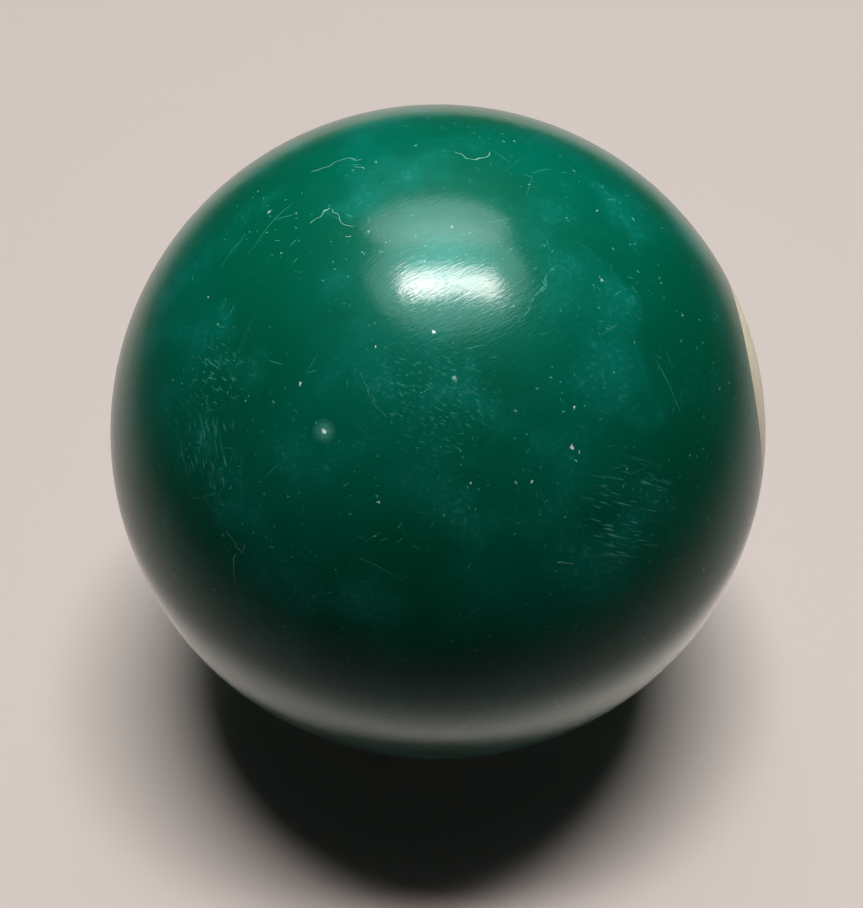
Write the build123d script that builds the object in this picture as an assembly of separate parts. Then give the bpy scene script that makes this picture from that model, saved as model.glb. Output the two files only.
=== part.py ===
from build123d import *
import math
import os

# A solid green pool ball, the size used on American tables.
#
# The ball is cast from phenolic resin in several pours and then ground and polished as one sphere, so
# every piece meets its neighbours with no gap and no glue:
#   numeral and underline   black resin, poured into pockets in the number disc
#   number disc             cream resin, a short round plug with the pockets in its outer face
#   ball body               green resin, poured round both number discs
# There are two number discs, at opposite ends of one axis. The rear one reads upside down when the
# front one reads upright. The underline tells this numeral from the one it turns into upside down.
#
# Frame: millimetres, the origin at the ball's centre, +Z up. The axis through both discs lies in the
# XZ plane. Its front end points along +X and leans up by lie_angle, as the ball lies on a table.

# Ball
ball_diameter = 57.15  # 2 1/4 inches
lie_angle = 12.5  # degrees that the front disc's axis leans up from +X

# Number disc
disc_diameter = 19.05  # 3/4 inch
disc_depth = 7.0  # from the ball's surface at the middle of the disc to the plug's inner face
disc_root_fillet = 1.2  # round at the plug's inner edge

# Numeral, as seen face on
numeral_height = 8.4
bowl_diameter = 5.6  # the round lower part
stroke_width = 1.45
stem_sweep = 62.0  # degrees of arc in the stem, from the bowl's side to the tip
inlay_depth = 3.0  # from the ball's surface at the middle of the disc to the pockets' floor

# Underline
underline_length = 5.0
underline_width = 0.95
underline_gap = 0.95  # between the numeral and the underline

ball_radius = ball_diameter / 2
over = 1.0  # how far a cutting shape stands past the ball's surface


def ball_sphere():
    """The polished outer surface, with its poles on the disc axis."""
    return Sphere(ball_radius)


def plug_blank():
    """A disc before its outer face is ground round: a cylinder that stands past the surface."""
    height = disc_depth + over
    middle = ball_radius - disc_depth + height / 2
    blank = Pos(0, 0, middle) * Cylinder(disc_diameter / 2, height)
    inner_edge = blank.edges().sort_by(Axis.Z)[0]
    return fillet(inner_edge, min(disc_root_fillet, disc_depth / 2, disc_diameter / 4))


def numeral_face():
    """A plain six: a ring for the bowl and an arc of the same stroke for the stem."""
    bowl_radius = bowl_diameter / 2
    layout_height = numeral_height + underline_gap + underline_width
    bowl_y = layout_height / 2 - numeral_height + bowl_radius

    # The stem's outer edge leaves the bowl's left side upright and rises to the numeral's full height.
    sweep = math.radians(stem_sweep)
    stem_outer = (numeral_height - bowl_radius) / math.sin(sweep)
    stem_inner = stem_outer - stroke_width
    stem_x = stem_outer - bowl_radius
    start_angle = 180 - stem_sweep
    outer_edge = CenterArc((stem_x, bowl_y), stem_outer, start_angle, stem_sweep)
    inner_edge = CenterArc((stem_x, bowl_y), stem_inner, start_angle, stem_sweep)
    tip = Line(outer_edge @ 0, inner_edge @ 0)
    foot = Line(outer_edge @ 1, inner_edge @ 1)
    stem = make_face([outer_edge, tip, inner_edge, foot])

    bowl = Pos(0, bowl_y) * (Circle(bowl_radius) - Circle(bowl_radius - stroke_width))
    return bowl + stem


def underline_face():
    """The straight bar under the numeral."""
    layout_height = numeral_height + underline_gap + underline_width
    bar_y = underline_width / 2 - layout_height / 2
    return Pos(0, bar_y) * Rectangle(underline_length, underline_width)


def inlay(face):
    """A face carried up from the pockets' floor to past the ball's surface."""
    return extrude(Pos(0, 0, ball_radius - inlay_depth) * face, inlay_depth + over)


def half_pieces(end, side_location):
    """The disc, numeral and underline at one end of the axis, by node name."""
    numeral = inlay(numeral_face())
    underline = inlay(underline_face())
    disc = plug_blank() - numeral - underline
    pieces = {"number_disc": disc, "numeral": numeral, "underline": underline}
    return {f"{end}_{name}": side_location * (ball_sphere() & blank) for name, blank in pieces.items()}


def build():
    """Every node of the ball, by name, in the row frame."""
    lean = math.radians(lie_angle)
    front_axis = Vector(math.cos(lean), 0, math.sin(lean))
    front = Plane((0, 0, 0), x_dir=(0, 1, 0), z_dir=front_axis).location
    rear = Plane((0, 0, 0), x_dir=(0, 1, 0), z_dir=-front_axis).location
    rear_in_front = Plane((0, 0, 0), x_dir=(1, 0, 0), z_dir=(0, 0, -1)).location

    body = ball_sphere() - plug_blank() - rear_in_front * plug_blank()
    nodes = {"ball_body": front * body}
    nodes.update(half_pieces("front", front))
    nodes.update(half_pieces("rear", rear))
    return nodes


def main():
    os.makedirs("parts", exist_ok=True)
    for name, shape in build().items():
        shape.label = name
        export_step(shape, f"parts/{name}.step")


main()
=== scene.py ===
"""A solid green pool ball: the looks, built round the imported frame.

The ball is one polished sphere of three resins. This file makes the visible meshes at a finer step
than the frame's, gives each resin its finish, and sets the ball on a pale floor in studio light.
"""

import math

import bmesh
import bpy
from bpy.props import FloatProperty, FloatVectorProperty, IntProperty, PointerProperty
from mathutils import Matrix, Vector


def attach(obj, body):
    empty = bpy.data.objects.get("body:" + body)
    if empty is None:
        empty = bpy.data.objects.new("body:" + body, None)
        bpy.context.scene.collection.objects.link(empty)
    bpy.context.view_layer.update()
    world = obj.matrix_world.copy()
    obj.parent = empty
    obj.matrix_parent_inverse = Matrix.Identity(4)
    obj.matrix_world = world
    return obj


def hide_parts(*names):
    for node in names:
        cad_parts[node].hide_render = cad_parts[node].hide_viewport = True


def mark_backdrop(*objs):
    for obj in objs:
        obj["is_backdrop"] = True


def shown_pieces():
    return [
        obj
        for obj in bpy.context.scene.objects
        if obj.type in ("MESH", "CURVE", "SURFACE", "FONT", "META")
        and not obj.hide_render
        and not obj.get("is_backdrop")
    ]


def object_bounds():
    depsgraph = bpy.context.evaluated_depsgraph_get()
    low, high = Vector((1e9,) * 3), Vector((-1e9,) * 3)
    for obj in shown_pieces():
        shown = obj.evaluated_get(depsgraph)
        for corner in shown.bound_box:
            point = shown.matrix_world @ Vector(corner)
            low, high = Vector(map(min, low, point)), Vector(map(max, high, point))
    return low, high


bl_info = {
    "name": "Pool Ball",
    "version": (1, 0, 0),
    "blender": (4, 5, 0),
    "location": "View3D > Sidebar > Ball",
    "description": "Builds a solid green pool ball on a pale floor",
    "category": "Object",
}

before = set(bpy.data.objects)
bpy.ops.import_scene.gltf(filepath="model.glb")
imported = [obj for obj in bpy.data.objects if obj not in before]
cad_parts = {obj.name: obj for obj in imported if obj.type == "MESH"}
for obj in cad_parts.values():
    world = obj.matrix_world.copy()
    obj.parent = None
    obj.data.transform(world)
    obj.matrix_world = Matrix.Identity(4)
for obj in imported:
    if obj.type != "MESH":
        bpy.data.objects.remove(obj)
CAD_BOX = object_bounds()
MM = 0.001
ENDS = ("front", "rear")
FIGURE_PARTS = ("numeral", "underline")
MERGE_DISTANCE = 1e-7


# ---------------------------------------------------------------- sizes read from the frame


def node_points(name):
    """Every vertex of a frame node."""
    return [v.co.copy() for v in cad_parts[name].data.vertices]


def disc_axis(end):
    """The direction from the ball's centre out through the middle of a number disc."""
    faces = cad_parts[f"{end}_number_disc"].data.polygons
    inner_face = min(faces, key=lambda face: face.center.length)
    return -inner_face.normal.normalized()


def disc_radius(end):
    """The radius of a number disc's straight side."""
    axis = disc_axis(end)
    return max((co - axis * co.dot(axis)).length for co in node_points(f"{end}_number_disc"))


def disc_floor(end):
    """How far the plug's inner face is from the ball's centre."""
    axis = disc_axis(end)
    return min(co.dot(axis) for co in node_points(f"{end}_number_disc"))


BALL_RADIUS = max(co.length for co in node_points("ball_body"))

# A standard ball's radius, which the camera's distance is a multiple of.
NOMINAL_RADIUS = 28.575 * MM


# ---------------------------------------------------------------- settings


class BallSizes(bpy.types.PropertyGroup):
    """Sizes that the frame leaves to the mesh."""

    turn_steps: IntProperty(
        name="Turn steps",
        description="Steps in a full turn about the disc axis",
        default=240,
        min=24,
    )
    arc_step: FloatProperty(
        name="Arc step",
        description="Angle of one step from disc to disc",
        default=math.radians(1.1),
        subtype="ANGLE",
    )
    root_fillet: FloatProperty(
        name="Root fillet",
        description="Round at the plug's inner edge",
        default=1.2 * MM,
        subtype="DISTANCE",
        unit="LENGTH",
    )
    seam_round: FloatProperty(
        name="Seam round",
        description="Polishing round along the seam of two resins",
        default=0.03 * MM,
        subtype="DISTANCE",
        unit="LENGTH",
    )


def colour_property(name, description, default):
    """A colour in linear light."""
    return FloatVectorProperty(
        name=name,
        description=description,
        default=default,
        size=3,
        subtype="COLOR",
        min=0.0,
        max=1.0,
    )


def angle_property(name, description, degrees):
    """An angle, given in degrees."""
    return FloatProperty(
        name=name, description=description, default=math.radians(degrees), subtype="ANGLE"
    )


def power_property(name, description, watts):
    """A light's radiant power."""
    return FloatProperty(name=name, description=description, default=watts, unit="POWER")


class BallColours(bpy.types.PropertyGroup):
    """Resin and dirt colours, in linear light."""

    green: colour_property("Green", "The body's resin", (0.0, 0.102, 0.062))
    green_deep: colour_property("Deep green", "Darker clouds in the body", (0.0, 0.086, 0.045))
    green_haze: colour_property("Haze", "Worn patches on the body", (0.002, 0.15, 0.112))
    cream: colour_property("Cream", "The aged number discs", (0.82, 0.75, 0.5))
    cream_stain: colour_property("Stain", "Yellowed patches on the discs", (0.74, 0.64, 0.37))
    black: colour_property("Black", "The numerals", (0.01, 0.01, 0.011))
    black_worn: colour_property("Worn black", "Greyed patches on the numerals", (0.03, 0.03, 0.032))
    # The mark colour also paints the glint halo round the first fleck.
    mark: colour_property("Mark", "Scratches and scuffs", (0.12, 0.42, 0.36))
    dust: colour_property("Dust", "Dust and lint", (0.5, 0.75, 0.65))
    fleck: colour_property("Fleck", "The few larger specks", (0.8, 0.9, 0.86))
    dirt: colour_property("Dirt", "The line held in a seam", (0.12, 0.09, 0.05))


class StudioSettings(bpy.types.PropertyGroup):
    """Floor, light and camera."""

    camera_distance: FloatProperty(
        name="Distance",
        description="From the ball's centre to the lens",
        default=4 * NOMINAL_RADIUS,
        subtype="DISTANCE",
        unit="LENGTH",
    )
    camera_elevation: angle_property("Elevation", "Camera's height angle", 47)
    camera_azimuth: angle_property("Azimuth", "Camera's turn round the ball", -1.9)
    lens_mm: FloatProperty(
        name="Lens",
        description="Focal length on a 36 mm sensor",
        default=50.3,
        subtype="DISTANCE_CAMERA",
    )
    floor_colour: colour_property("Floor", "The floor", (0.54, 0.527, 0.502))
    backdrop_colour: colour_property(
        "Backdrop", "What stands beyond the floor", (0.45, 0.43, 0.41)
    )
    key_power: power_property("Key power", "The overhead light", 10.6)
    key_elevation: angle_property("Key elevation", "Past 90 it stands behind the ball", 97.6)
    key_turn: angle_property("Key turn", "How far it leans to the right", 3.5)
    key_width: angle_property("Key width", "Angle that its long side fills", 32)
    key_depth: angle_property("Key depth", "Angle that its short side fills", 5)
    glare: FloatProperty(
        name="Glare",
        description="Strength of the lamp as the ball mirrors it",
        default=1.0,
        min=0.0,
    )
    front_fill: power_property("Front fill", "The weak light in front", 0.35)
    rim_fill: power_property("Rim fill", "The matt fill behind the ball", 24.0)


def settings():
    """The sizes, the colours and the studio's values."""
    scene = bpy.context.scene
    return scene.ball_sizes, scene.ball_colours, scene.ball_studio


# ---------------------------------------------------------------- mesh helpers

SHARP_ANGLE = math.radians(35)
SEAM_SEGMENTS = 2
FILLET_SEGMENTS = 6


def place_on_axis(axis):
    """Turns local Z to a disc's axis."""
    return Vector((0, 0, 1)).rotation_difference(axis).to_matrix()


def add_object(name, data):
    """A new object in the scene's own collection."""
    obj = bpy.data.objects.new(name, data)
    bpy.context.scene.collection.objects.link(obj)
    return obj


def spin_profile(bm, steps):
    """Spins the bmesh's edges round local Z into a closed surface, with its normals outward."""
    bmesh.ops.spin(
        bm,
        geom=bm.verts[:] + bm.edges[:],
        cent=(0, 0, 0),
        axis=(0, 0, 1),
        angle=math.tau,
        steps=steps,
        use_merge=True,
        use_duplicate=False,
    )
    bmesh.ops.remove_doubles(bm, verts=bm.verts, dist=MERGE_DISTANCE)
    bmesh.ops.recalc_face_normals(bm, faces=bm.faces)


def arc_chain(bm, start_angle, end_angle, step):
    """A chain of edges on the ball's surface in the XZ plane, from one angle off +Z to another.
    Returns its first and last vertex."""
    steps = max(1, round(abs(end_angle - start_angle) / step))
    x, z = BALL_RADIUS * math.sin(start_angle), BALL_RADIUS * math.cos(start_angle)
    start = bm.verts.new((x, 0, z))
    made = bmesh.ops.spin(
        bm,
        geom=[start],
        cent=(0, 0, 0),
        axis=(0, 1, 0),
        angle=end_angle - start_angle,
        steps=steps,
        use_merge=False,
        use_duplicate=False,
    )
    last = [v for v in made["geom_last"] if isinstance(v, bmesh.types.BMVert)][0]
    return start, last


def chain_to(bm, vert, *places):
    """Carries the profile on from a vertex through places in the XZ plane."""
    for x, z in places:
        onward = bm.verts.new((x, 0, z))
        bm.edges.new((vert, onward))
        vert = onward


def round_circle(bm, radius, height, offset, segments):
    """Bevels the ring of edges that has this radius and height on local Z."""
    near = 1e-6

    def on_ring(vert):
        out = math.hypot(vert.co.x, vert.co.y)
        return abs(out - radius) < near and abs(vert.co.z - height) < near

    bmesh.ops.bevel(
        bm,
        geom=[edge for edge in bm.edges if all(on_ring(vert) for vert in edge.verts)],
        offset=offset,
        segments=segments,
        profile=0.5,
        affect="EDGES",
        material=-1,
        clamp_overlap=True,
    )


def shade_as_ground(mesh):
    """Normals that point straight out from the centre on the ground sphere, and by angle
    elsewhere."""
    mesh.shade_smooth()
    mesh.set_sharp_from_angle(angle=SHARP_ANGLE)
    normals = [Vector(corner.vector) for corner in mesh.corner_normals]
    near = 2e-6
    for face in mesh.polygons:
        corners = [mesh.vertices[i].co for i in face.vertices]
        if all(abs(co.length - BALL_RADIUS) < near for co in corners):
            for loop_index, co in zip(face.loop_indices, corners):
                normals[loop_index] = co.normalized()
    mesh.normals_split_custom_set(normals)


def finish_piece(obj, node, material):
    """The last step of every piece: its finish, its body and the node it stands for."""
    obj.data.materials.clear()
    obj.data.materials.append(material)
    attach(obj, "root")
    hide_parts(node)


# ---------------------------------------------------------------- the blanks


def round_seam_and_root(bm, sizes, radius, rim_height, floor):
    """Rounds the edge at the ball's surface and the one at the inner face."""
    round_circle(bm, radius, rim_height, sizes.seam_round, SEAM_SEGMENTS)
    round_circle(bm, radius, floor, sizes.root_fillet, FILLET_SEGMENTS)


def turned_mesh(bm, name, axis):
    """The bmesh as a mesh, with its local Z laid along a disc's axis."""
    mesh = bpy.data.meshes.new(name)
    bm.to_mesh(mesh)
    bm.free()
    mesh.transform(place_on_axis(axis).to_4x4())
    return mesh


def body_mesh(sizes):
    """The green body: a sphere with a round socket for each number disc."""
    radius, floor = disc_radius("front"), disc_floor("front")
    rim_angle = math.asin(radius / BALL_RADIUS)
    rim_height = BALL_RADIUS * math.cos(rim_angle)
    bm = bmesh.new()
    front_rim, rear_rim = arc_chain(bm, rim_angle, math.pi - rim_angle, sizes.arc_step)
    chain_to(bm, front_rim, (radius, floor), (0, floor))
    chain_to(bm, rear_rim, (radius, -floor), (0, -floor))
    spin_profile(bm, sizes.turn_steps)
    for side in (1, -1):
        round_seam_and_root(bm, sizes, radius, side * rim_height, side * floor)
    return turned_mesh(bm, "ball_body_visual", disc_axis("front"))


def plug_mesh(sizes, end):
    """A number disc before its pockets are cut, its outer face ground to the ball."""
    radius, floor = disc_radius(end), disc_floor(end)
    rim_angle = math.asin(radius / BALL_RADIUS)
    rim_height = BALL_RADIUS * math.cos(rim_angle)
    bm = bmesh.new()
    _, rim = arc_chain(bm, 0, rim_angle, sizes.arc_step * 0.7)
    chain_to(bm, rim, (radius, floor), (0, floor))
    spin_profile(bm, sizes.turn_steps)
    round_seam_and_root(bm, sizes, radius, rim_height, floor)
    return turned_mesh(bm, f"{end}_plug", disc_axis(end))


def inlay_mesh(end, part):
    """A frame node's shape, merged, with its outer face carried past the ball's surface."""
    axis = disc_axis(end)
    bm = bmesh.new()
    bm.from_mesh(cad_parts[f"{end}_{part}"].data)
    bmesh.ops.remove_doubles(bm, verts=bm.verts, dist=1e-6)
    outer = [v for v in bm.verts if v.co.length > BALL_RADIUS - 0.05 * MM]
    bmesh.ops.translate(bm, verts=outer, vec=axis * MM)
    mesh = bpy.data.meshes.new(f"{end}_{part}_blank")
    bm.to_mesh(mesh)
    bm.free()
    return mesh


def boolean_mesh(base, tools, operation, name):
    """base with each tool cut away or kept, as a new mesh."""
    target = add_object("cut_base", base)
    cutters = [add_object("cut_tool", tool) for tool in tools]
    for cutter in cutters:
        cut = target.modifiers.new("cut", "BOOLEAN")
        cut.operation = operation
        cut.solver = "EXACT"
        cut.object = cutter
    depsgraph = bpy.context.evaluated_depsgraph_get()
    mesh = bpy.data.meshes.new_from_object(target.evaluated_get(depsgraph), depsgraph=depsgraph)
    mesh.name = name
    for obj in [target, *cutters]:
        bpy.data.objects.remove(obj)
    bm = bmesh.new()
    bm.from_mesh(mesh)
    bmesh.ops.remove_doubles(bm, verts=bm.verts, dist=MERGE_DISTANCE)
    bmesh.ops.dissolve_degenerate(bm, edges=bm.edges, dist=MERGE_DISTANCE)
    bmesh.ops.triangulate(bm, faces=[face for face in bm.faces if len(face.verts) > 4])
    bm.to_mesh(mesh)
    bm.free()
    return mesh


# ---------------------------------------------------------------- finishes


def direction(azimuth, elevation, turn=0.0):
    """A unit vector. The azimuth turns round +Z from -Y, and turn leans it towards +X."""
    tilted = Vector((0, -math.cos(elevation), math.sin(elevation)))
    return Matrix.Rotation(azimuth, 3, "Z") @ Matrix.Rotation(turn, 3, "Y") @ tilted


class Tree:
    """A material and its nodes. Lengths in it are millimetres."""

    def __init__(self, name):
        """A new material with a Principled BSDF."""
        self.material = bpy.data.materials.new(name)
        self.material.use_nodes = True
        self.nodes = self.material.node_tree.nodes
        self.links = self.material.node_tree.links
        self.shader = self.nodes["Principled BSDF"]

    def add(self, kind, inputs=None, **options):
        """A new node, with its options and its sockets set."""
        node = self.nodes.new(kind)
        for key, value in options.items():
            setattr(node, key, value)
        self.feed(node, inputs or {})
        return node

    def feed(self, node, inputs):
        """Joins or sets a node's sockets."""
        for key, value in inputs.items():
            if isinstance(value, bpy.types.NodeSocket):
                self.links.new(value, node.inputs[key])
            elif isinstance(value, tuple) and node.inputs[key].type == "RGBA":
                node.inputs[key].default_value = (*value, 1)
            else:
                node.inputs[key].default_value = value

    def place(self):
        """Where on the piece, in millimetres from the ball's centre."""
        coordinates = self.add("ShaderNodeTexCoord").outputs["Object"]
        return self.vector("MULTIPLY", coordinates, (1000, 1000, 1000))

    def math(self, operation, a, b=0.0):
        """Arithmetic on numbers."""
        return self.add("ShaderNodeMath", {0: a, 1: b}, operation=operation).outputs[0]

    def vector(self, operation, a, b=(0, 0, 0)):
        """Arithmetic on places and directions."""
        node = self.add("ShaderNodeVectorMath", {0: a, 1: b}, operation=operation)
        scalar = operation in ("DOT_PRODUCT", "LENGTH", "DISTANCE")
        return node.outputs["Value" if scalar else "Vector"]

    def fade(self, value, start, end, top=1.0):
        """0 at start and top at end, smooth between them."""
        inputs = {"Value": value, "From Min": start, "From Max": end, "To Max": top}
        node = self.add("ShaderNodeMapRange", inputs, interpolation_type="SMOOTHSTEP")
        return node.outputs["Result"]

    def noise(self, where, size, detail=2.0, kind="Fac"):
        """Cloudy noise whose features are about this size."""
        inputs = {"Vector": where, "Scale": 1 / size, "Detail": detail}
        return self.add("ShaderNodeTexNoise", inputs).outputs[kind]

    def mix(self, factor, a, b):
        """One colour over another."""
        return self.add("ShaderNodeMix", {0: factor, 6: a, 7: b}, data_type="RGBA").outputs[2]

    def times(self, a, b):
        """One mask within another, or weakened by a number."""
        return self.math("MULTIPLY", a, b)

    def union(self, *masks):
        """The strongest of several masks."""
        joined = masks[0]
        for mask in masks[1:]:
            joined = self.math("MAXIMUM", joined, mask)
        return joined

    def wobbled(self, where, size, detail, amount):
        """The place shifted by noise, so that straight marks waver."""
        ripple = self.vector("SUBTRACT", self.noise(where, size, detail, "Color"), (0.5, 0.5, 0.5))
        return self.vector("ADD", where, self.vector("MULTIPLY", ripple, (amount, amount, amount)))


def moved(tree, where, amount):
    """The same place in another part of the noise, so that two layers differ."""
    return tree.vector("ADD", where, (amount, 0.7 * amount, -0.4 * amount))


def specks(tree, where, cell, radius):
    """Round dots strewn over the surface, one to a cell at most."""
    cells = tree.add("ShaderNodeTexVoronoi", {"Vector": where, "Scale": 1 / cell})
    return tree.fade(cells.outputs["Distance"], radius / cell, 0.4 * radius / cell)


def scratches(tree, where, outward, cell, length, width):
    """Short lines scored in the surface, one to a cell, each with its own heading and depth."""
    cells = tree.add("ShaderNodeTexVoronoi", {"Vector": where, "Scale": 1 / cell})
    offset = tree.vector("SUBTRACT", where, cells.outputs["Position"])
    lean = tree.vector("SUBTRACT", cells.outputs["Color"], (0.5, 0.5, 0.5))
    across = tree.vector("NORMALIZE", tree.vector("CROSS_PRODUCT", lean, outward))
    aside = tree.math("ABSOLUTE", tree.vector("DOT_PRODUCT", offset, across))
    line = tree.fade(aside, width / 2, width / 6)
    reach = tree.fade(tree.vector("LENGTH", offset), length / 2, length / 5)
    depth = tree.add("ShaderNodeSeparateColor", {"Color": cells.outputs["Color"]}).outputs["Red"]
    return tree.times(tree.times(line, reach), tree.fade(depth, 0.1, 1.0))


def streaks(tree, where, heading, length, width):
    """Noise drawn out along a heading."""
    across = heading.orthogonal()
    shares = {}
    for row, (axis, size) in enumerate(
        ((heading, length), (across, width), (heading.cross(across), width))
    ):
        shares[row] = tree.math("DIVIDE", tree.vector("DOT_PRODUCT", where, tuple(axis)), size)
    drawn = tree.add("ShaderNodeCombineXYZ", shares).outputs[0]
    return tree.noise(drawn, 1.0, 1.5)


# The Y and Z of the direction up the ball's front.
UP_THE_FRONT = (0.73, 0.68)


def surface_frame(azimuth, elevation, heading):
    """A place on the ball and two directions along its surface: ahead and to the left.
    A heading of 0 runs to +X, and 90 runs up the ball's front."""
    middle = direction(math.radians(azimuth), math.radians(elevation))
    turned = math.radians(heading)
    up = math.sin(turned)
    ahead = Vector((math.cos(turned), up * UP_THE_FRONT[0], up * UP_THE_FRONT[1]))
    ahead = (ahead - middle * ahead.dot(middle)).normalized()
    return middle * (BALL_RADIUS / MM), ahead, middle.cross(ahead)


def dot_mark(tree, where, azimuth, elevation, radius, core=0.3):
    """One round mark, full out to this part of its radius."""
    middle, _, _ = surface_frame(azimuth, elevation, 0)
    return tree.fade(tree.vector("DISTANCE", where, tuple(middle)), radius, core * radius)


def line_mark(tree, where, azimuth, elevation, heading, length, bend=200.0, width=0.075):
    """One thin line. A positive bend radius curves it to the left."""
    middle, ahead, left = surface_frame(azimuth, elevation, heading)
    hub = middle + left * bend
    out = tree.vector("SUBTRACT", where, tuple(hub))
    aside = tree.math("ABSOLUTE", tree.math("SUBTRACT", tree.vector("LENGTH", out), abs(bend)))
    line = tree.fade(aside, width / 2, width / 6)
    towards = (middle - hub).normalized()
    turn = tree.vector("DOT_PRODUCT", tree.vector("NORMALIZE", out), tuple(towards))
    half = length / 2 / abs(bend)
    reach = tree.fade(turn, math.cos(half), math.cos(half * 0.85))
    near = tree.fade(tree.vector("DISTANCE", where, tuple(middle)), length * 0.8, length * 0.7)
    return tree.times(tree.times(line, reach), near)


def patch_mark(tree, where, azimuth, elevation, heading, radius, length, width, strength):
    """A patch of short scuffs that all run one way."""
    middle, ahead, _ = surface_frame(azimuth, elevation, heading)
    scuff = tree.fade(streaks(tree, where, ahead, length, width), 0.57, 0.75)
    reach = tree.fade(tree.vector("DISTANCE", where, tuple(middle)), radius, 0.2 * radius, strength)
    return tree.times(scuff, reach)


POLISH_DEPTH = 0.0068 * MM


def gloss(tree, where, tint):
    """A polished coat over a duller resin, both broken by fine polishing scratches."""
    fine = streaks(tree, where, Vector((0.85, 0.5, 0.15)).normalized(), 0.9, 0.13)
    broad = streaks(tree, where, Vector((0.75, 0.65, -0.1)).normalized(), 1.8, 0.5)
    height = tree.math("ADD", fine, broad)
    bump_inputs = {"Height": height, "Strength": 1.0, "Distance": POLISH_DEPTH}
    bump = tree.add("ShaderNodeBump", bump_inputs)
    shader_inputs = {
        "Roughness": 0.36,
        "IOR": 1.5,
        "Specular IOR Level": 0.5,
        "Specular Tint": tint,
        "Coat Weight": 1.0,
        "Coat Roughness": 0.12,
        "Coat IOR": 1.5,
        "Normal": bump.outputs["Normal"],
        "Coat Normal": bump.outputs["Normal"],
    }
    tree.feed(tree.shader, shader_inputs)


# Lint fibres: azimuth, elevation, heading, length, bend radius.
FIBRES = (
    (-109, 74, 6, 4.2, -5.0),
    (-100, 78, -55, 1.0, -1.0),
    (-69, 71, 55, 1.9, 30.0),
    (-59, 73, -52, 3.4, 5.0),
    (-48, 72, 20, 0.6, 0.5),
    (114, 84, 0, 3.6, 1.3),
    (-36, 24, -48, 1.5, 2.0),
    (-34, 24, 62, 1.0, 2.0),
    (-35, 20, 68, 2.9, 9.0),
    (18, 26, -20, 1.2, 10.0),
)

# Long faint scratches, in the same terms.
FAINT_LINES = (
    (-78, 57, 48, 4.6, 40.0),
    (-17, 52, -62, 5.0, -30.0),
    (33, 64, 55, 5.2, 12.0),
    (28, 63, 52, 4.0, 14.0),
    (-47, 34, -80, 4.0, 50.0),
    (-54, 33, -80, 3.0, -6.0),
    (-56, 37, -50, 2.2, 20.0),
    (-44, 28, 5, 3.0, 60.0),
)

# Larger specks: azimuth, elevation, radius. The first has a painted glint round it.
FLECKS = (
    (-24.5, 45, 0.26),
    (-33, 50, 0.16),
    (24, 42, 0.15),
    (25, 41, 0.12),
    (24, 40, 0.1),
    (15, 39, 0.14),
    (4, 40, 0.1),
    (27, 47, 0.15),
    (-3, 61, 0.16),
    (-18, 58, 0.12),
    (-12, 37, 0.11),
)

# Scuffed patches: azimuth, elevation, heading, radius, length and width of a scuff, strength.
SCUFFS = (
    (31, 29, -18, 5.5, 1.7, 0.25, 0.6),
    (-46, 34, -80, 4.5, 1.3, 0.2, 0.5),
    (-53, 44, -25, 4.0, 0.7, 0.24, 0.4),
    (-2, 52, -25, 6.0, 0.5, 0.26, 0.3),
)


def scored_lines(tree, where, curved, outward):
    """Fine scratches of three lengths, thick in some places and thin in others."""
    scored = tree.union(
        scratches(tree, moved(tree, curved, 11), outward, 7.0, 6.0, 0.05),
        scratches(tree, moved(tree, curved, 43), outward, 3.2, 2.4, 0.05),
        scratches(tree, moved(tree, curved, 71), outward, 1.3, 0.8, 0.06),
    )
    crowding = tree.fade(tree.noise(moved(tree, where, 83), 5.0, 3.0), 0.42, 0.62, 0.6)
    return tree.times(scored, crowding)


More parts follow.
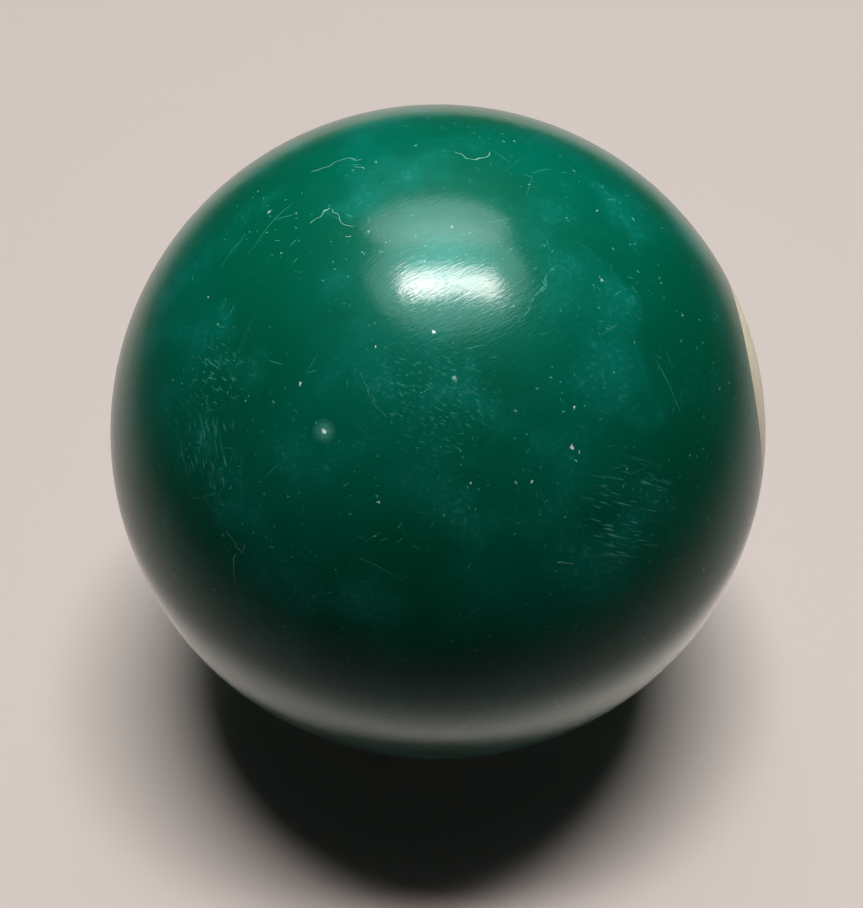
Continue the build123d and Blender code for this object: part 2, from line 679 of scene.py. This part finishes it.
def green_resin(colours):
    """The body's resin: clouded green, with dust, lint, scratches and scuffs."""
    tree = Tree("green_resin_finish")
    where = tree.place()
    outward = tree.vector("NORMALIZE", where)
    wavy = tree.wobbled(where, 1.3, 1.0, 1.4)
    curved = tree.wobbled(where, 9.0, 1.0, 3.0)
    jagged = tree.wobbled(where, 0.18, 0.0, 0.3)

    cloud = tree.fade(tree.noise(moved(tree, where, 31), 12.0, 3.0), 0.4, 0.65)
    haze = tree.fade(tree.noise(moved(tree, where, 57), 6.0, 4.0), 0.46, 0.74, 0.65)
    grain = tree.fade(tree.noise(where, 0.4, 2.0), 0.5, 0.8, 0.25)
    colour = tree.mix(cloud, colours.green_deep[:], colours.green[:])
    colour = tree.mix(haze, colour, colours.green_haze[:])
    colour = tree.mix(tree.times(grain, haze), colour, colours.mark[:])

    scuffed = tree.union(*(patch_mark(tree, where, *scuff) for scuff in SCUFFS))
    faint = tree.union(*(line_mark(tree, wavy, *line) for line in FAINT_LINES))
    faint = tree.times(faint, tree.fade(tree.noise(where, 0.5, 2.0), 0.35, 0.65, 0.45))
    fine_dust = tree.times(specks(tree, moved(tree, jagged, 29), 0.75, 0.09), 0.65)
    drifted = tree.fade(tree.noise(moved(tree, where, 97), 7.0, 2.0), 0.35, 0.6)
    fine_dust = tree.times(fine_dust, drifted)
    pale = tree.union(scored_lines(tree, where, curved, outward), scuffed, faint, fine_dust)
    colour = tree.mix(pale, colour, colours.mark[:])

    fibres = tree.union(*(line_mark(tree, wavy, *line) for line in FIBRES))
    coarse_dust = specks(tree, moved(tree, jagged, 5), 1.7, 0.11)
    stray_dust = specks(tree, moved(tree, jagged, 19), 5.0, 0.2)
    loose = tree.times(tree.union(coarse_dust, stray_dust, fibres), 0.42)
    colour = tree.mix(loose, colour, colours.dust[:])

    azimuth, elevation, radius = FLECKS[0]
    # A pale halo round the first speck: a painted glint.
    painted_glint_halo = dot_mark(tree, jagged, azimuth, elevation, 4 * radius, 0.0)
    colour = tree.mix(tree.times(painted_glint_halo, 0.45), colour, colours.mark[:])
    flecks = tree.union(*(dot_mark(tree, jagged, *fleck) for fleck in FLECKS))
    colour = tree.mix(tree.times(flecks, 0.85), colour, colours.fleck[:])
    tree.feed(tree.shader, {"Base Color": colour})
    gloss(tree, where, (0.15, 1.0, 0.9))
    return tree.material


def cream_resin(colours):
    """The discs' resin: aged, stained towards the seam, with dark hairlines."""
    tree = Tree("cream_resin_finish")
    where = tree.place()
    outward = tree.vector("NORMALIZE", where)
    axis = disc_axis("front")
    across = tree.vector("LENGTH", tree.vector("CROSS_PRODUCT", where, tuple(axis)))
    edge = disc_radius("front") / MM
    stain = tree.fade(tree.noise(where, 4.0, 4.0), 0.4, 0.7, 0.8)
    colour = tree.mix(stain, colours.cream[:], colours.cream_stain[:])
    rim = tree.fade(across, edge - 2.0, edge, 0.35)
    colour = tree.mix(rim, colour, colours.cream_stain[:])
    hairlines = tree.union(
        scratches(tree, moved(tree, where, 13), outward, 4.5, 4.0, 0.05),
        scratches(tree, moved(tree, where, 37), outward, 1.8, 1.2, 0.05),
        specks(tree, moved(tree, where, 3), 1.7, 0.09),
    )
    colour = tree.mix(tree.times(hairlines, 0.5), colour, colours.dirt[:])
    seam = tree.fade(across, edge - 0.14, edge - 0.03, 0.75)
    colour = tree.mix(seam, colour, colours.dirt[:])
    tree.feed(tree.shader, {"Base Color": colour})
    gloss(tree, where, (1.0, 0.95, 0.85))
    return tree.material


def black_resin(colours):
    """The numerals' resin: black, greyed by wear."""
    tree = Tree("black_resin_finish")
    where = tree.place()
    outward = tree.vector("NORMALIZE", where)
    wear = tree.fade(tree.noise(where, 1.5, 4.0), 0.4, 0.7)
    colour = tree.mix(wear, colours.black[:], colours.black_worn[:])
    hairlines = tree.union(
        scratches(tree, moved(tree, where, 17), outward, 2.4, 2.0, 0.04),
        specks(tree, moved(tree, where, 7), 1.1, 0.06),
    )
    colour = tree.mix(tree.times(hairlines, 0.3), colour, colours.cream_stain[:])
    tree.feed(tree.shader, {"Base Color": colour})
    gloss(tree, where, (1.0, 1.0, 1.0))
    return tree.material


# ---------------------------------------------------------------- operators


class POOLBALL_OT_body(bpy.types.Operator):
    """Make the green body"""

    bl_idname = "pool_ball.body"
    bl_label = "Ball Body"

    def execute(self, context):
        """Turns the body and finishes it."""
        sizes, colours, _ = settings()
        mesh = body_mesh(sizes)
        shade_as_ground(mesh)
        body = add_object("ball_body_resin", mesh)
        finish_piece(body, "ball_body", green_resin(colours))
        return {"FINISHED"}


class POOLBALL_OT_discs(bpy.types.Operator):
    """Make both number discs, with a pocket for each numeral and underline"""

    bl_idname = "pool_ball.discs"
    bl_label = "Number Discs"

    def execute(self, context):
        """Turns each plug, cuts its pockets and finishes it."""
        sizes, colours, _ = settings()
        material = cream_resin(colours)
        for end in ENDS:
            node = f"{end}_number_disc"
            tools = [inlay_mesh(end, part) for part in FIGURE_PARTS]
            mesh = boolean_mesh(plug_mesh(sizes, end), tools, "DIFFERENCE", f"{node}_visual")
            shade_as_ground(mesh)
            finish_piece(add_object(f"{node}_resin", mesh), node, material)
        return {"FINISHED"}


class POOLBALL_OT_inlays(bpy.types.Operator):
    """Make the black numerals and underlines"""

    bl_idname = "pool_ball.inlays"
    bl_label = "Numerals and Underlines"

    def execute(self, context):
        """Grinds each figure flush with its plug and finishes it."""
        sizes, colours, _ = settings()
        material = black_resin(colours)
        for end in ENDS:
            for part in FIGURE_PARTS:
                node = f"{end}_{part}"
                tools = [plug_mesh(sizes, end)]
                mesh = boolean_mesh(inlay_mesh(end, part), tools, "INTERSECT", f"{node}_visual")
                shade_as_ground(mesh)
                finish_piece(add_object(f"{node}_resin", mesh), node, material)
        return {"FINISHED"}


# ---------------------------------------------------------------- the studio

LIGHT_DISTANCE = 1.2
KEY_COLOUR = (1.0, 0.96, 0.92)
TUBE_COLOUR = (1.0, 0.82, 0.82)
SHADE_COLOUR = (0.92, 0.95, 0.94)
FRONT_COLOUR = (1.0, 0.88, 0.86)
RIM_COLOUR = (0.88, 1.0, 1.12)

# The lamp as the ball mirrors it: name, elevation, turn, width and depth in degrees, power in
# watts, colour, and whether it also lights matt surfaces.
GLARE = (
    ("glare_tube", 96.0, 4.0, 28, 8.4, 6.5, TUBE_COLOUR, True),
    ("glare_tube_end", 94.0, -5.0, 12, 2.5, 0.7, TUBE_COLOUR, True),
    ("glare_shade", 99.0, 3.5, 46, 40, 4.0, SHADE_COLOUR, False),
    ("glare_back", 119.0, 1.0, 38, 19.5, 2.2, SHADE_COLOUR, True),
)

# The fills' elevation, and the angle that each side of them fills.
RIM_PLACE = (math.radians(135), math.radians(40))
FRONT_PLACE = (math.radians(35), 0.5)

FLOOR_ROUGHNESS = 0.6
FLOOR_SEEN_RADIUS = 0.7
FLOOR_MIRRORED_RADIUS = 0.5
FLOOR_GAP = 0.02 * MM

# What the ball mirrors of the floor, in millimetres: painted pools of light, with each pool's place
# on Y, and the distances where it starts and is full. Beyond them it is black, painted shade.
POOL_BACK = 75
POOL_FADE = (212, 60)
POOL_STRENGTH = 0.45
FOOT_BACK = -5
FOOT_FADE = (48, 18)
FOOT_STRENGTH = 0.95
# The pools are painted brighter than the floor that the camera sees.
MIRROR_GAIN = 1.55

# Where the camera aims, off the ball's centre: right, up, towards the lens.
AIM_POINT = Vector((-0.55 * MM, -1.86 * MM, 0))
SENSOR_MM = 36
NEAREST = 5 * MM
DISPLAY_GAMMA = 0.9


def aim_matrix(outward, side):
    """Axes for a light or camera that looks back along outward, with its long side near side."""
    side = (side - outward * side.dot(outward)).normalized()
    return Matrix((side, outward.cross(side), outward)).transposed().to_4x4()


def add_area_light(name, outward, width, depth, power, colour):
    """A rectangular light aimed at the ball; width and depth are angles."""
    data = bpy.data.lights.new(name, "AREA")
    data.shape = "ELLIPSE" if depth > width / 2 else "RECTANGLE"
    data.size = 2 * LIGHT_DISTANCE * math.tan(width / 2)
    data.size_y = 2 * LIGHT_DISTANCE * math.tan(depth / 2)
    data.energy = power
    data.color = colour
    light = add_object(name, data)
    stand = Matrix.Translation(outward * LIGHT_DISTANCE)
    light.matrix_world = stand @ aim_matrix(outward, Vector((1, 0, 0)))
    return light


class POOLBALL_OT_studio(bpy.types.Operator):
    """Set up the floor, the lights and the camera"""

    bl_idname = "pool_ball.studio"
    bl_label = "Studio"

    def execute(self, context):
        """Adds the camera, the floor, the lights and the backdrop."""
        _, _, studio = settings()
        self.add_camera(context.scene, studio)
        self.add_floor(studio)
        self.add_key(studio)
        self.add_glare(studio)
        self.add_rim_fill(studio)
        self.add_front_fill(studio)
        self.add_backdrop(context.scene, studio)
        context.scene.view_settings.view_transform = "Standard"
        context.scene.view_settings.gamma = DISPLAY_GAMMA
        return {"FINISHED"}

    def add_camera(self, scene, studio):
        """A level camera, aimed a little below and to the left of the ball's centre."""
        camera = add_object("camera", bpy.data.cameras.new("camera"))
        camera.data.lens = studio.lens_mm
        camera.data.sensor_width = SENSOR_MM
        camera.data.clip_start = NEAREST
        outward = direction(studio.camera_azimuth, studio.camera_elevation)
        level = Matrix.Rotation(studio.camera_azimuth, 3, "Z") @ Vector((1, 0, 0))
        eye = outward * studio.camera_distance
        target = aim_matrix(outward, level).to_3x3() @ AIM_POINT
        aim = aim_matrix((eye - target).normalized(), level)
        camera.matrix_world = Matrix.Translation(eye) @ aim
        scene.camera = camera

    def add_key(self, studio):
        """The overhead light. The ball mirrors the glare lights in its place."""
        outward = direction(0, studio.key_elevation, studio.key_turn)
        size = (studio.key_width, studio.key_depth)
        key = add_area_light("key_light", outward, *size, studio.key_power, KEY_COLOUR)
        key.visible_glossy = False

    def add_glare(self, studio):
        """The lamp's tube and its shade, as the ball mirrors them."""
        for name, elevation, turn, width, depth, power, colour, matt in GLARE:
            outward = direction(0, math.radians(elevation), math.radians(turn))
            size = (math.radians(width), math.radians(depth))
            light = add_area_light(name, outward, *size, power * studio.glare, colour)
            light.visible_diffuse = matt

    def add_rim_fill(self, studio):
        """A matt light that reaches the ball alone, so it adds no highlight and no shadow."""
        elevation, spread = RIM_PLACE
        outward = direction(0, elevation)
        light = add_area_light("rim_fill", outward, spread, spread, studio.rim_fill, RIM_COLOUR)
        light.visible_glossy = False
        lit = bpy.data.collections.new("rim_fill_receivers")
        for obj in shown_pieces():
            lit.objects.link(obj)
        light.light_linking.receiver_collection = lit

    def add_front_fill(self, studio):
        """A weak light that lifts the ball's lower front."""
        elevation, spread = FRONT_PLACE
        size, power = (spread, spread), studio.front_fill
        fill = add_area_light("front_fill", direction(0, elevation), *size, power, FRONT_COLOUR)
        fill.visible_glossy = False

    def add_backdrop(self, scene, studio):
        """A pale surround that the camera sees and that lights nothing."""
        world = bpy.data.worlds.new("backdrop")
        scene.world = world
        world.use_nodes = True
        background = world.node_tree.nodes["Background"]
        background.inputs["Color"].default_value = (*studio.backdrop_colour, 1)
        world.cycles_visibility.diffuse = False
        world.cycles_visibility.glossy = False

    def add_floor(self, studio):
        """The floor that the camera sees, and below it a twin that the ball mirrors."""
        seen = Tree("floor_finish")
        finish = {"Base Color": studio.floor_colour[:], "Roughness": FLOOR_ROUGHNESS}
        seen.feed(seen.shader, finish)
        bottom = CAD_BOX[0].z
        top = self.disc_of_floor("floor_seen", FLOOR_SEEN_RADIUS, bottom, seen.material)
        top.visible_glossy = False
        top.visible_diffuse = False
        top.visible_shadow = False
        below = bottom - FLOOR_GAP
        material = self.mirrored_floor(studio, bottom / MM)
        twin = self.disc_of_floor("floor_mirrored", FLOOR_MIRRORED_RADIUS, below, material)
        twin.visible_camera = False
        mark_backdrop(top, twin)

    def mirrored_floor(self, studio, level):
        """The twin's finish: painted light in a pool behind and round the ball and one at its foot,
        black painted shade elsewhere.
        """
        tree = Tree("floor_mirrored_finish")
        place = tree.place()
        behind = tree.vector("MINIMUM", place, (1000, POOL_BACK, 0))
        pool = tree.fade(tree.vector("DISTANCE", behind, (0, POOL_BACK, level)), *POOL_FADE)
        pool = tree.times(tree.times(pool, pool), POOL_STRENGTH)
        foot_range = tree.vector("DISTANCE", place, (0, FOOT_BACK, level))
        foot = tree.fade(foot_range, *FOOT_FADE, FOOT_STRENGTH)
        painted_pool_colour = tuple(MIRROR_GAIN * value for value in studio.floor_colour)
        colour = tree.mix(tree.math("ADD", pool, foot), (0.0, 0.0, 0.0), painted_pool_colour)
        tree.feed(tree.shader, {"Base Color": colour, "Roughness": FLOOR_ROUGHNESS})
        return tree.material

    def disc_of_floor(self, name, radius, height, material):
        """A round floor at a height."""
        bm = bmesh.new()
        bmesh.ops.create_circle(bm, cap_ends=True, segments=256, radius=radius)
        bmesh.ops.translate(bm, verts=bm.verts, vec=(0, 0, height))
        mesh = bpy.data.meshes.new(name)
        bm.to_mesh(mesh)
        bm.free()
        mesh.materials.append(material)
        return add_object(name, mesh)


class POOLBALL_PT_panel(bpy.types.Panel):
    """Pool ball tools"""

    bl_label = "Pool Ball"
    bl_idname = "POOLBALL_PT_panel"
    bl_space_type = "VIEW_3D"
    bl_region_type = "UI"
    bl_category = "Ball"

    def draw(self, context):
        """Lists the operators, and then every value."""
        for operator in OPERATORS:
            self.layout.operator(operator.bl_idname)
        for group in settings():
            box = self.layout.box()
            for name in group.bl_rna.properties.keys():
                if name not in ("rna_type", "name"):
                    box.prop(group, name)


OPERATORS = (POOLBALL_OT_body, POOLBALL_OT_discs, POOLBALL_OT_inlays, POOLBALL_OT_studio)
CLASSES = (BallSizes, BallColours, StudioSettings, *OPERATORS, POOLBALL_PT_panel)


def register():
    """Registers the classes and hangs their values on the scene."""
    for cls in CLASSES:
        bpy.utils.register_class(cls)
    bpy.types.Scene.ball_sizes = PointerProperty(type=BallSizes)
    bpy.types.Scene.ball_colours = PointerProperty(type=BallColours)
    bpy.types.Scene.ball_studio = PointerProperty(type=StudioSettings)


def unregister():
    """Takes all of it away again."""
    del bpy.types.Scene.ball_studio
    del bpy.types.Scene.ball_colours
    del bpy.types.Scene.ball_sizes
    for cls in reversed(CLASSES):
        bpy.utils.unregister_class(cls)


def main():
    """Builds the ball and its studio."""
    register()
    bpy.ops.pool_ball.body()
    bpy.ops.pool_ball.discs()
    bpy.ops.pool_ball.inlays()
    bpy.ops.pool_ball.studio()


if __name__ == "__main__":
    main()
